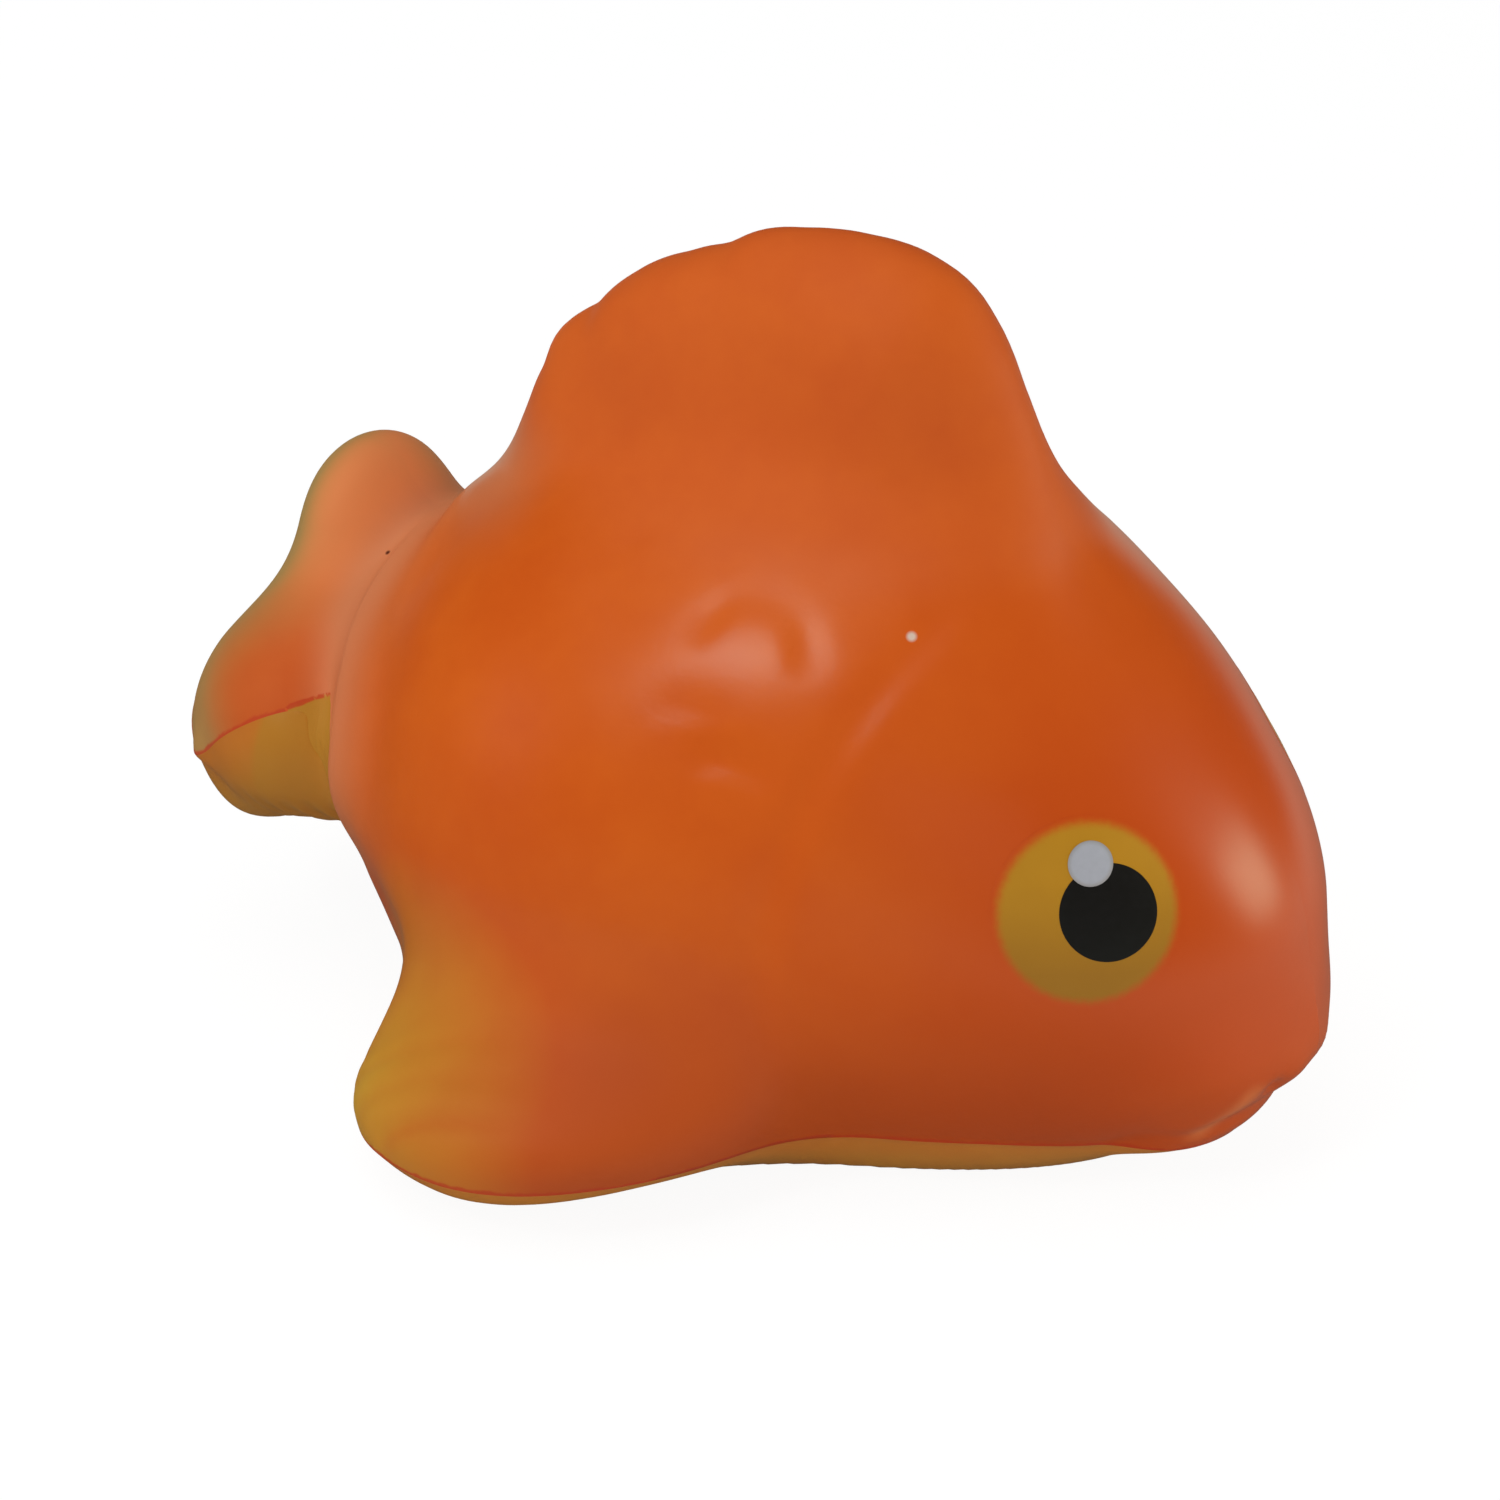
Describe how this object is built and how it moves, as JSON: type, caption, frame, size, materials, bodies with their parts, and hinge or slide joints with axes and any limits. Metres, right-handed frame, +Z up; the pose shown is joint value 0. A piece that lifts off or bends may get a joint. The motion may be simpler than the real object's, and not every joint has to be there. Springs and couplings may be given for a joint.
{
  "type": "goldfish stress toy",
  "caption": "Soft moulded goldfish squeeze toy: plump body with back fin, side fins and drooping fan tail in one, orange coat above, yellow coat below, printed eyes.",
  "frame": {"origin": "on the floor under the middle of the toy's length and width, at the flat of the belly", "axes": "+X from the tail to the snout, +Y to the fish's left, +Z up"},
  "size_m": [0.1043, 0.0926, 0.074],
  "materials": {
    "core_foam": "soft slow-recovery polyurethane foam with fine cells",
    "orange_coat": "satin polyurethane coat on a dense foam skin",
    "yellow_coat": "satin polyurethane coat on a dense foam skin",
    "yellow_ink": "printed ink",
    "black_ink": "printed ink",
    "white_ink": "printed ink"
  },
  "bodies": {
    "root": {"foam_core": "core_foam", "back_skin": "orange_coat", "belly_skin": "yellow_coat", "right_iris": "yellow_ink", "right_pupil": "black_ink", "right_highlight": "white_ink", "left_iris": "yellow_ink", "left_pupil": "black_ink", "left_highlight": "white_ink"}
  },
  "joints": []
}
